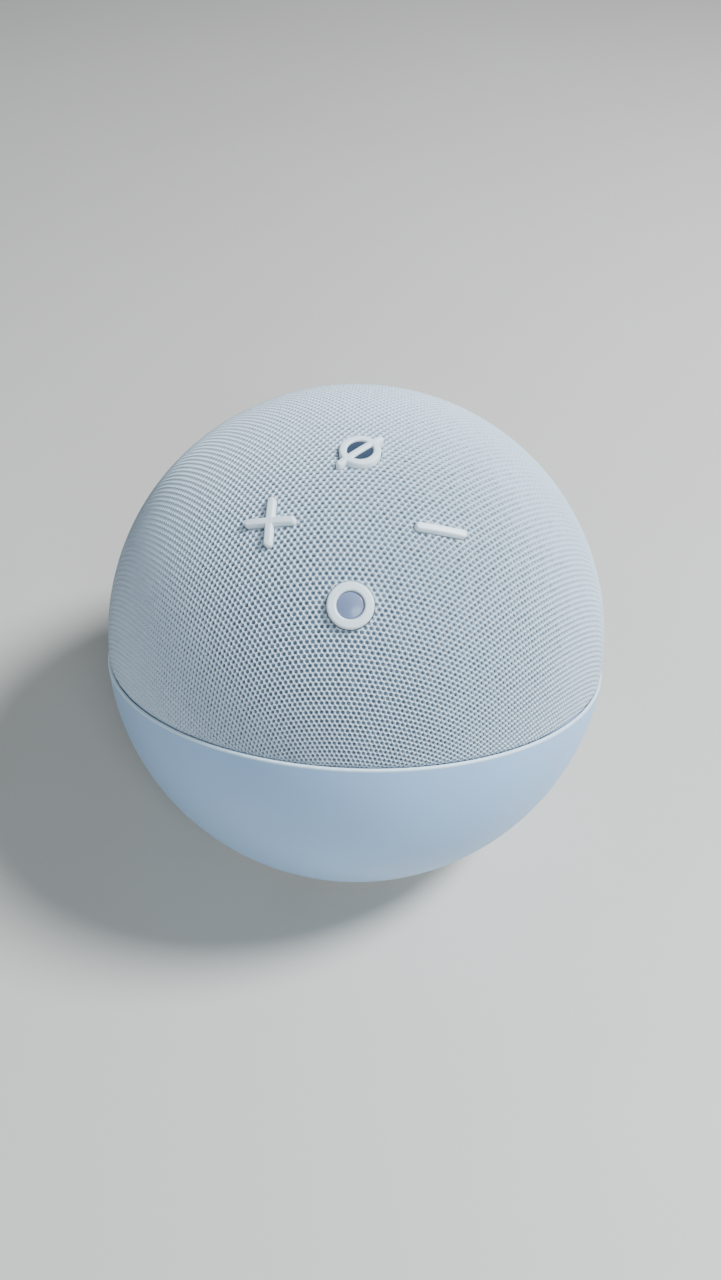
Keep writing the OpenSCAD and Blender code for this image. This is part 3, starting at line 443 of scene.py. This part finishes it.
def housing():
    """The bowl's plastic. Its thin lip is painted paler, as a painted highlight."""
    look = Nodes("housing_plastic")
    point = look.object_point()
    split = look.add("ShaderNodeSeparateXYZ")
    look.link(point, split.inputs["Vector"])
    along_y = look.math("MULTIPLY", split.outputs["Y"], math.sin(SEAM_LEAN))
    lifted = look.math("SUBTRACT", split.outputs["Z"], float(CENTRE[2]))
    height = look.math("MULTIPLY_ADD", lifted, math.cos(SEAM_LEAN), along_y)
    # The band along the lip where the painted highlight is mixed in
    lip = look.add("ShaderNodeMapRange", interpolation_type="SMOOTHSTEP")
    look.link(height, lip.inputs["Value"])
    lip.inputs["From Min"].default_value = LIP_FOOT
    lip.inputs["From Max"].default_value = LIP_TOP
    cloud = look.noise(point, 38.0, 4.0)
    body = look.ramp(cloud, [(0.3, shade(PLASTIC_BLUE, 0.965)), (0.7, shade(PLASTIC_BLUE, 1.02))])
    look.set(Base_Color=look.mix(lip.outputs["Result"], body, LIP_HIGHLIGHT_BLUE))
    look.set(Roughness=look.scaled(look.noise(point, 210.0, 5.0, 0.7), 0.36, 0.5))
    look.set(Subsurface_Weight=0.06, Subsurface_Scale=0.001)
    look.set(Normal=look.bump(look.noise(point, 9000.0, 2.0, 0.6), 0.1, 0.00006))
    return look.material


MATERIALS = {
    "knit": knit("knit"),
    "housing_plastic": housing(),
    "button_plastic": moulded("button_plastic", NEAR_WHITE, 0.38, 0.7, 9000.0, Subsurface_Weight=0.12,
                              Subsurface_Scale=0.001),
    "light_diffuser": translucent("light_diffuser", (0.86, 0.89, 0.91), 0.4, 0.5),
    "base_plastic": moulded("base_plastic", (0.66, 0.74, 0.82), 0.5, 1.4),
    "inner_plastic": moulded("inner_plastic", (0.035, 0.037, 0.042), 0.5, 1.5, 5000.0),
    "grille_plastic": moulded("grille_plastic", (0.16, 0.18, 0.20), 0.55, 1.4),
    "foot_rubber": rubber("foot_rubber", (0.16, 0.175, 0.19)),
    "soft_rubber": rubber("soft_rubber", (0.02, 0.02, 0.022), 0.8),
    "screw_steel": metal("screw_steel", (0.6, 0.61, 0.63), 0.32),
    "board": board("board", (0.03, 0.16, 0.075)),
    "chip": moulded("chip", (0.022, 0.022, 0.025), 0.55, 2.0, 3000.0),
    "lamp": translucent("lamp", (0.9, 0.85, 0.62), 0.2, 0.4, 0.5),
    "can_steel": metal("can_steel", (0.68, 0.69, 0.71), 0.35),
    "pad": rubber("pad", (0.22, 0.32, 0.42), 0.7),
    "spreader_metal": metal("spreader_metal", (0.62, 0.63, 0.65), 0.45, False),
    "contact_brass": metal("contact_brass", (0.78, 0.58, 0.26), 0.25),
    "ribbon": moulded("ribbon", (0.66, 0.6, 0.45), 0.3, 0.5),
    "connector": moulded("connector", (0.75, 0.72, 0.6), 0.4, 0.8),
    "wire": moulded("wire", (0.42, 0.04, 0.03), 0.35, 0.6),
    "magnet": moulded("magnet", (0.05, 0.05, 0.055), 0.6, 2.5, 2500.0),
    "yoke_steel": metal("yoke_steel", (0.5, 0.51, 0.53), 0.4),
    "coil_copper": metal("coil_copper", (0.72, 0.32, 0.14), 0.3),
    "cone": woven("cone", (0.03, 0.03, 0.033), 900.0),
    "spider_cloth": woven("spider_cloth", (0.45, 0.26, 0.09), 1300.0),
    "surround_rubber": rubber("surround_rubber", (0.015, 0.015, 0.017), 0.55),
    "lens": translucent("lens", (0.21, 0.25, 0.38), 0.34, 0.1, 0.4),
    "dark_lens": translucent("dark_lens", (0.035, 0.052, 0.085), 0.4, 0.05, 0.2),
    "microphone": metal("microphone", (0.7, 0.58, 0.33), 0.3),
}

for part in frame["record"]["subparts"]:
    obj = nodes[part["node"]]
    obj.data.materials.clear()
    obj.data.materials.append(MATERIALS[part["material_slot"]])
    obj.data.shade_smooth()
    obj.data.set_sharp_from_angle(angle=SHARP_ANGLE)


# ---------------------------------------------------------------- knitted cover

DOME_FOOT = SEAM_Z + 0.9 * MM
DOME_END = math.acos(DOME_FOOT / FABRIC_R)
DOME_ARC = DOME_END * FABRIC_R
# From the edge of the dome the hem turns in behind the housing's lip: (radius, height) in the seam's frame
HEM_PATH = np.array([
    (math.sin(DOME_END) * FABRIC_R, DOME_FOOT),
    (49.46 * MM, SEAM_Z + 0.45 * MM),
    (49.3 * MM, SEAM_Z + 0.16 * MM),
    (49.12 * MM, SEAM_Z - 0.12 * MM),
    (48.88 * MM, SEAM_Z - 0.42 * MM),
    (48.5 * MM, SEAM_Z - 0.57 * MM),
    (47.5 * MM, SEAM_Z - 0.59 * MM),
])
HEM_ARC = np.concatenate([[0.0], np.cumsum(np.linalg.norm(np.diff(HEM_PATH, axis=0), axis=1))])
CUT_R = DOME_ARC + HEM_ARC[-1]


def on_cover(u, v, lift):
    """The point on the cover at arc distances u, v from its pole, lifted by lift, in the model's frame."""
    arc = np.hypot(u, v)
    bearing = np.arctan2(v, u)
    angle = np.minimum(arc / FABRIC_R, DOME_END)
    beyond = np.clip(arc - DOME_ARC, 0.0, HEM_ARC[-1])
    radius = np.where(beyond > 0, np.interp(beyond, HEM_ARC, HEM_PATH[:, 0]), np.sin(angle) * FABRIC_R)
    height = np.where(beyond > 0, np.interp(beyond, HEM_ARC, HEM_PATH[:, 1]), np.cos(angle) * FABRIC_R)
    radius = radius + lift * np.sin(angle)
    height = height + lift * np.cos(angle)
    local = np.stack([radius * np.cos(bearing), radius * np.sin(bearing), height], axis=-1)
    return local @ SEAM_M.T + CENTRE


def hex_net():
    """A net of six-sided cells: the corners' places, the holes' middles, and each cell's six corners."""
    reach = CUT_R - NET_MARGIN
    rows = int(reach / ROW_PITCH) + 2
    columns = int(reach / HOLE_PITCH) + 2
    corner_ids, corner_places, centres, cells = {}, [], [], []

    def corner(i2, j3):
        key = (i2, j3)
        if key not in corner_ids:
            corner_ids[key] = len(corner_places)
            corner_places.append((i2 * HOLE_PITCH / 2, j3 * ROW_PITCH / 3))
        return corner_ids[key]

    for j in range(-rows, rows + 1):
        for i in range(-columns, columns + 1):
            i2 = 2 * i + (j % 2)
            u, v = i2 * HOLE_PITCH / 2, j * ROW_PITCH
            if math.hypot(u, v) > reach:
                continue
            centres.append((u, v))
            around = ((1, -1), (1, 1), (0, 2), (-1, 1), (-1, -1), (0, -2))
            cells.append([corner(i2 + a, 3 * j + b) for a, b in around])
    return np.array(corner_places), np.array(centres), np.array(cells)


def net_points(corners, centres, cells):
    """Places and lifts of the net's corners, each hole's edge and floor, and the holes' middles."""
    # The corners stand proud where two loops cross, and every yarn differs a little
    crossing = np.round(corners[:, 1] * 3 / ROW_PITCH).astype(int) % 3 == 1
    corner_lift = np.where(crossing, YARN_LIFT, -YARN_LIFT) + rng.normal(0, YARN_SCATTER, len(corners))
    corners = corners + rng.normal(0, YARN_SCATTER, corners.shape)
    middle = centres[:, None, :]
    spokes = corners[cells] - middle
    edge = middle + spokes * HOLE_SHARE
    floor = middle + spokes * FLOOR_SHARE
    ring_size = cells.size
    lifts = [
        corner_lift,
        np.full(ring_size, -EDGE_SINK) + rng.normal(0, EDGE_SCATTER, ring_size),
        np.full(ring_size, -HOLE_DEPTH),
        np.full(len(centres), -HOLE_DEPTH - FLOOR_DISH),
    ]
    places = [corners, edge.reshape(-1, 2), floor.reshape(-1, 2), centres]
    return np.concatenate(places), np.concatenate(lifts)


def net_faces(corner_count, cells):
    """Quads round each hole and down its wall, and triangles over its floor."""
    count = len(cells)
    this = np.arange(6)
    following = (this + 1) % 6
    first_edge = corner_count + 6 * np.arange(count)[:, None]
    first_floor = first_edge + cells.size
    edge, next_edge = first_edge + this, first_edge + following
    floor, next_floor = first_floor + this, first_floor + following
    middles = corner_count + 2 * cells.size + np.arange(count)
    middle = np.broadcast_to(middles[:, None], cells.shape)
    ring = np.stack([cells, cells[:, following], next_edge, edge], axis=-1)
    wall = np.stack([edge, next_edge, next_floor, floor], axis=-1)
    quads = np.concatenate([ring.reshape(-1, 4), wall.reshape(-1, 4)])
    triangles = np.stack([floor, next_floor, middle], axis=-1).reshape(-1, 3)
    return quads, triangles


def fit_openings(points):
    """Draws the net onto the rims of the buttons' openings, and says which points lie inside one."""
    inside = np.zeros(len(points), bool)
    for quarter, outline in OPENINGS.items():
        m = button_matrix(quarter)
        local = (points - CENTRE) @ m
        near = (local[:, 2] > BUTTON_DEPTH) & (np.hypot(local[:, 0], local[:, 1]) < BUTTON_REACH)
        moved = local[near]
        x, y = local[near, 0], local[near, 1]
        away = outline(x, y) - FABRIC_GAP
        gx, gy = gradient(outline, x, y)
        pull = away < PULL_REACH
        moved[pull, 0] -= (gx * away)[pull]
        moved[pull, 1] -= (gy * away)[pull]
        rim = np.sqrt(np.maximum((FABRIC_R - RIM_DROP) ** 2 - moved[:, 0] ** 2 - moved[:, 1] ** 2, 0))
        moved[pull, 2] = rim[pull]
        points[near] = moved @ m.T + CENTRE
        inside[near] |= away < 0.0
    return inside


def net_mesh(name, points, quads, triangles, places):
    """A mesh of the faces, with each corner's place on the cloth as its UV."""
    mesh = bpy.data.meshes.new(name)
    loops = np.concatenate([quads.reshape(-1), triangles.reshape(-1)]).astype(np.int32)
    totals = np.concatenate([np.full(len(quads), 4), np.full(len(triangles), 3)])
    starts = np.concatenate([[0], np.cumsum(totals)[:-1]]).astype(np.int32)
    mesh.vertices.add(len(points))
    mesh.vertices.foreach_set("co", points.astype(np.float32).reshape(-1))
    mesh.loops.add(len(loops))
    mesh.loops.foreach_set("vertex_index", loops)
    mesh.polygons.add(len(starts))
    mesh.polygons.foreach_set("loop_start", starts)
    mesh.update(calc_edges=True)
    layer = mesh.uv_layers.new(name="place")
    place = places[loops] / np.array([HOLE_PITCH, 2 * ROW_PITCH])
    layer.data.foreach_set("uv", place.astype(np.float32).reshape(-1))
    mesh.validate()
    mesh.shade_smooth()
    return mesh


def make_cover():
    corners, centres, cells = hex_net()
    places, lifts = net_points(corners, centres, cells)
    quads, triangles = net_faces(len(corners), cells)
    points = on_cover(places[:, 0], places[:, 1], lifts)
    inside = fit_openings(points)
    quads = quads[~inside[quads].all(axis=1)]
    triangles = triangles[~inside[triangles].all(axis=1)]
    mesh = net_mesh("knit_cover", points, quads, triangles, places)
    mesh.materials.append(MATERIALS["knit"])
    obj = bpy.data.objects.new("knit_cover", mesh)
    scene.collection.objects.link(obj)
    return obj


cover = make_cover()
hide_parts("fabric_cover")
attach(cover, "enclosure")


# ---------------------------------------------------------------- buttons


def rim_edges(quads):
    """The edges that only one quad has, in that quad's direction."""
    directed = np.concatenate([quads[:, [i, (i + 1) % 4]] for i in range(4)])
    _, first, uses = np.unique(np.sort(directed, axis=1), axis=0, return_index=True, return_counts=True)
    return directed[first[uses == 1]]


def cap_mesh(outline, half):
    """A button's face: it follows the ball's round, its edges roll over, and its walls go down."""
    reach = int(half / CAP_CELL)
    axis = np.arange(-reach, reach + 1) * CAP_CELL
    x, y = (a.reshape(-1) for a in np.meshgrid(axis, axis, indexing="xy"))
    away = outline(x, y)
    side = len(axis)
    rows, columns = np.meshgrid(np.arange(side - 1), np.arange(side - 1), indexing="ij")
    a = (rows * side + columns).reshape(-1)
    quads = np.stack([a, a + 1, a + side + 1, a + side], axis=-1)
    # The points near the outline walk onto it in small steps, for its inner corners
    snap = away > -SNAP_SHARE * CAP_CELL
    for _ in range(4):
        d = outline(x, y)
        gx, gy = gradient(outline, x, y)
        x = np.where(snap, x - gx * d, x)
        y = np.where(snap, y - gy * d, y)
    quads = quads[(away[quads] < -SNAP_SHARE * CAP_CELL).any(axis=1)]
    depth = np.clip(-outline(x, y), 0, CAP_ROUND)
    drop = CAP_ROUND - np.sqrt(np.maximum(CAP_ROUND ** 2 - (CAP_ROUND - depth) ** 2, 0))
    top = np.sqrt(BUTTON_TOP ** 2 - x ** 2 - y ** 2) - drop
    points = np.stack([x, y, top], axis=-1)
    rim = rim_edges(quads)
    rim_points = np.unique(rim)
    below = {p: len(points) + i for i, p in enumerate(rim_points)}
    low = points[rim_points].copy()
    low[:, 2] -= CAP_WALL
    faces = [tuple(q) for q in quads]
    faces += [(b, a, below[a], below[b]) for a, b in rim]
    return np.concatenate([points, low]), faces


def lathe(outline, steps=48):
    """A ring of points round Z for each (radius, height), as vertices and quads."""
    verts, faces = [], []
    for r, z in outline:
        for s in range(steps):
            t = 2 * math.pi * s / steps
            verts.append((r * math.cos(t), r * math.sin(t), z))
    for i in range(len(outline) - 1):
        for s in range(steps):
            a, b = i * steps + s, i * steps + (s + 1) % steps
            faces.append((a, b, b + steps, a + steps))
    return np.array(verts), faces


def join(parts):
    """Several (vertices, faces) as one."""
    verts, faces, start = [], [], 0
    for v, f in parts:
        verts.append(v)
        faces += [tuple(i + start for i in face) for face in f]
        start += len(v)
    return np.concatenate(verts), faces


def used_only(verts, faces):
    """Leaves out the vertices that no face has."""
    used = sorted({i for f in faces for i in f})
    again = {old: new for new, old in enumerate(used)}
    return verts[used], [tuple(again[i] for i in f) for f in faces]


def flange_mesh():
    """The round flange that holds the button in, curved like the ball."""
    angles = np.linspace(POLE_ANGLE, math.asin(FLANGE_D / 2 / FLANGE_R), 8)
    inner = FLANGE_R - FLANGE_T
    above = [(FLANGE_R * math.sin(t), FLANGE_R * math.cos(t)) for t in angles]
    under = [(inner * math.sin(t), inner * math.cos(t)) for t in angles[::-1]]
    return lathe(above + under)


def stem_mesh():
    """The stem along the press axis, under the flange's middle."""
    verts, faces = lathe([
        (AXIS_GAP, PLUNGER_TOP),
        (STEM_D / 2 - STEM_RIM, PLUNGER_TOP),
        (STEM_D / 2, PLUNGER_TOP + STEM_RIM),
        (STEM_D / 2, STEM_TOP),
    ], 32)
    return verts + np.array([SYMBOL_Z * math.sin(BUTTON_ARC), 0, 0]), faces


def make_button(name, node, body, quarter, outline, half):
    """The cap, flange and stem as one piece. half is how far the cap's grid reaches from its middle."""
    leaning = button_matrix(quarter)
    upright = BUTTON_M @ turn("Z", quarter * math.pi / 2)
    parts = [
        (used_only(*cap_mesh(outline, half)), leaning),
        (flange_mesh(), leaning),
        (stem_mesh(), upright),
    ]
    placed = [(verts @ m.T + CENTRE, faces) for (verts, faces), m in parts]
    obj = make_object(name, *join(placed), MATERIALS["button_plastic"])
    obj.data.set_sharp_from_angle(angle=CAP_SHARP_ANGLE)
    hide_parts(node)
    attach(obj, body)


make_button("action_cap", "action_button", "action", ACTION, d_action_ring, 4.2 * MM)
make_button("mute_cap", "mute_button", "mute", MUTE, d_mute_pierced, 5.4 * MM)
make_button("volume_up_cap", "volume_up_button", "volume_up", PLUS, d_plus, 4.8 * MM)
make_button("volume_down_cap", "volume_down_button", "volume_down", MINUS, d_minus, 4.8 * MM)


def dome_height(r):
    """The lens's height at a radius, from its crown a little below the ring's face."""
    return BUTTON_TOP - LENS_DROP - LENS_DOME_R + math.sqrt(LENS_DOME_R ** 2 - r ** 2)


def make_action_lens():
    """The domed lens, with a rolled edge."""
    r = LENS_D / 2 - LENS_GAP
    flat_r = r - LENS_EDGE
    rim_z = dome_height(flat_r) - LENS_EDGE
    outline = [(r, LENS_FOOT)]
    for t in np.linspace(0, math.pi / 2, 5):
        outline.append((flat_r + LENS_EDGE * math.cos(t), rim_z + LENS_EDGE * math.sin(t)))
    outline += [(flat_r * share, dome_height(flat_r * share)) for share in np.linspace(0.9, 0.01, 9)]
    verts, faces = lathe(outline, 64)
    verts = verts @ button_matrix(ACTION).T + CENTRE
    obj = make_object("action_dome", verts, faces, MATERIALS["lens"])
    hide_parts("action_lens")
    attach(obj, "action")


make_action_lens()


# ---------------------------------------------------------------- floor, light and camera


def floor_material():
    look = Nodes("floor")
    point = look.object_point()
    cloud = look.noise(point, 3.0, 5.0)
    look.set(Base_Color=look.ramp(cloud, [(0.3, (0.60, 0.54, 0.47)), (0.7, (0.64, 0.58, 0.51))]))
    look.set(Roughness=look.scaled(look.noise(point, 40.0), 0.5, 0.62))
    look.set(Normal=look.bump(look.noise(point, 1800.0, 3.0), 0.05, 0.0001))
    return look.material


FLOOR_HALF = 1.6
FLOOR_BACK = 1.2
FLOOR_BEND = 0.6
FLOOR_HIGH = 1.6


def make_floor():
    """A pale sheet that curves up far behind the object."""
    bend_y = FLOOR_BACK - FLOOR_BEND
    profile = [(-FLOOR_HALF, 0.0), (0.0, 0.0), (bend_y, 0.0)]
    for a in np.linspace(0.1, 1.0, 12) * math.pi / 2:
        profile.append((bend_y + FLOOR_BEND * math.sin(a), FLOOR_BEND - FLOOR_BEND * math.cos(a)))
    profile.append((FLOOR_BACK, FLOOR_HIGH))
    verts = [(x, y, z) for y, z in profile for x in (-FLOOR_HALF, FLOOR_HALF)]
    faces = [(a, a + 1, a + 3, a + 2) for a in range(0, len(verts) - 2, 2)]
    make_object("floor", verts, faces, floor_material())


make_floor()


LIGHT_AIM = Vector((0, 0, 0.04))


def area_light(name, place, size, power, colour):
    light = bpy.data.lights.new(name, "AREA")
    light.shape = "DISK"
    light.size = size
    light.energy = power
    light.color = colour
    obj = bpy.data.objects.new(name, light)
    obj.location = place
    aim = LIGHT_AIM - Vector(place)
    obj.rotation_euler = aim.to_track_quat("-Z", "Y").to_euler()
    scene.collection.objects.link(obj)


area_light("key", (0.46, 0.06, 0.66), 0.2, 13.0, (0.80, 0.91, 1.0))
area_light("fill", (-0.7, 0.0, 0.7), 0.6, 0.9, (0.72, 0.86, 1.0))
area_light("front", (0.25, -0.7, 0.7), 0.45, 5.0, (0.72, 0.87, 1.0))

world = bpy.data.worlds.new("studio")
world.use_nodes = True
background = world.node_tree.nodes["Background"]
background.inputs["Color"].default_value = (0.70, 0.84, 1.0, 1.0)
background.inputs["Strength"].default_value = 0.17
scene.world = world

# The camera stands about four radii from the middle of the ball, above its back
CAMERA_DISTANCE = 0.1985
CAMERA_ELEVATION = math.radians(48.2)
CAMERA_TURN = math.radians(2.0)
CAMERA_ROLL = math.radians(1.4)
# The focal length as a share of the picture's height, and the aim beside the ball's middle as slopes
FOCAL_SHARE = 0.75078
AIM_LEFT = -0.004162
AIM_UP = 0.007908
SENSOR_MM = 36.0

right = Vector((math.cos(CAMERA_TURN), math.sin(CAMERA_TURN), 0))
ahead = Vector((-math.sin(CAMERA_TURN), math.cos(CAMERA_TURN), 0))
inward = ahead * math.cos(CAMERA_ELEVATION) - Vector((0, 0, math.sin(CAMERA_ELEVATION)))
up = right.cross(inward)
rolled_right = right * math.cos(CAMERA_ROLL) + up * math.sin(CAMERA_ROLL)
rolled_up = up * math.cos(CAMERA_ROLL) - right * math.sin(CAMERA_ROLL)
middle = Vector(CENTRE)
place = middle - inward * CAMERA_DISTANCE
aim = (inward - rolled_right * AIM_LEFT - rolled_up * AIM_UP).normalized()
side = aim.cross(rolled_up).normalized()
above = side.cross(aim).normalized()
camera_data = bpy.data.cameras.new("camera")
camera_data.sensor_fit = "VERTICAL"
camera_data.sensor_height = SENSOR_MM
camera_data.lens = SENSOR_MM * FOCAL_SHARE
camera_data.clip_start = 0.01
camera = bpy.data.objects.new("camera", camera_data)
camera.matrix_world = Matrix((
    (side.x, above.x, -aim.x, place.x),
    (side.y, above.y, -aim.y, place.y),
    (side.z, above.z, -aim.z, place.z),
    (0, 0, 0, 1),
))
scene.collection.objects.link(camera)
scene.camera = camera
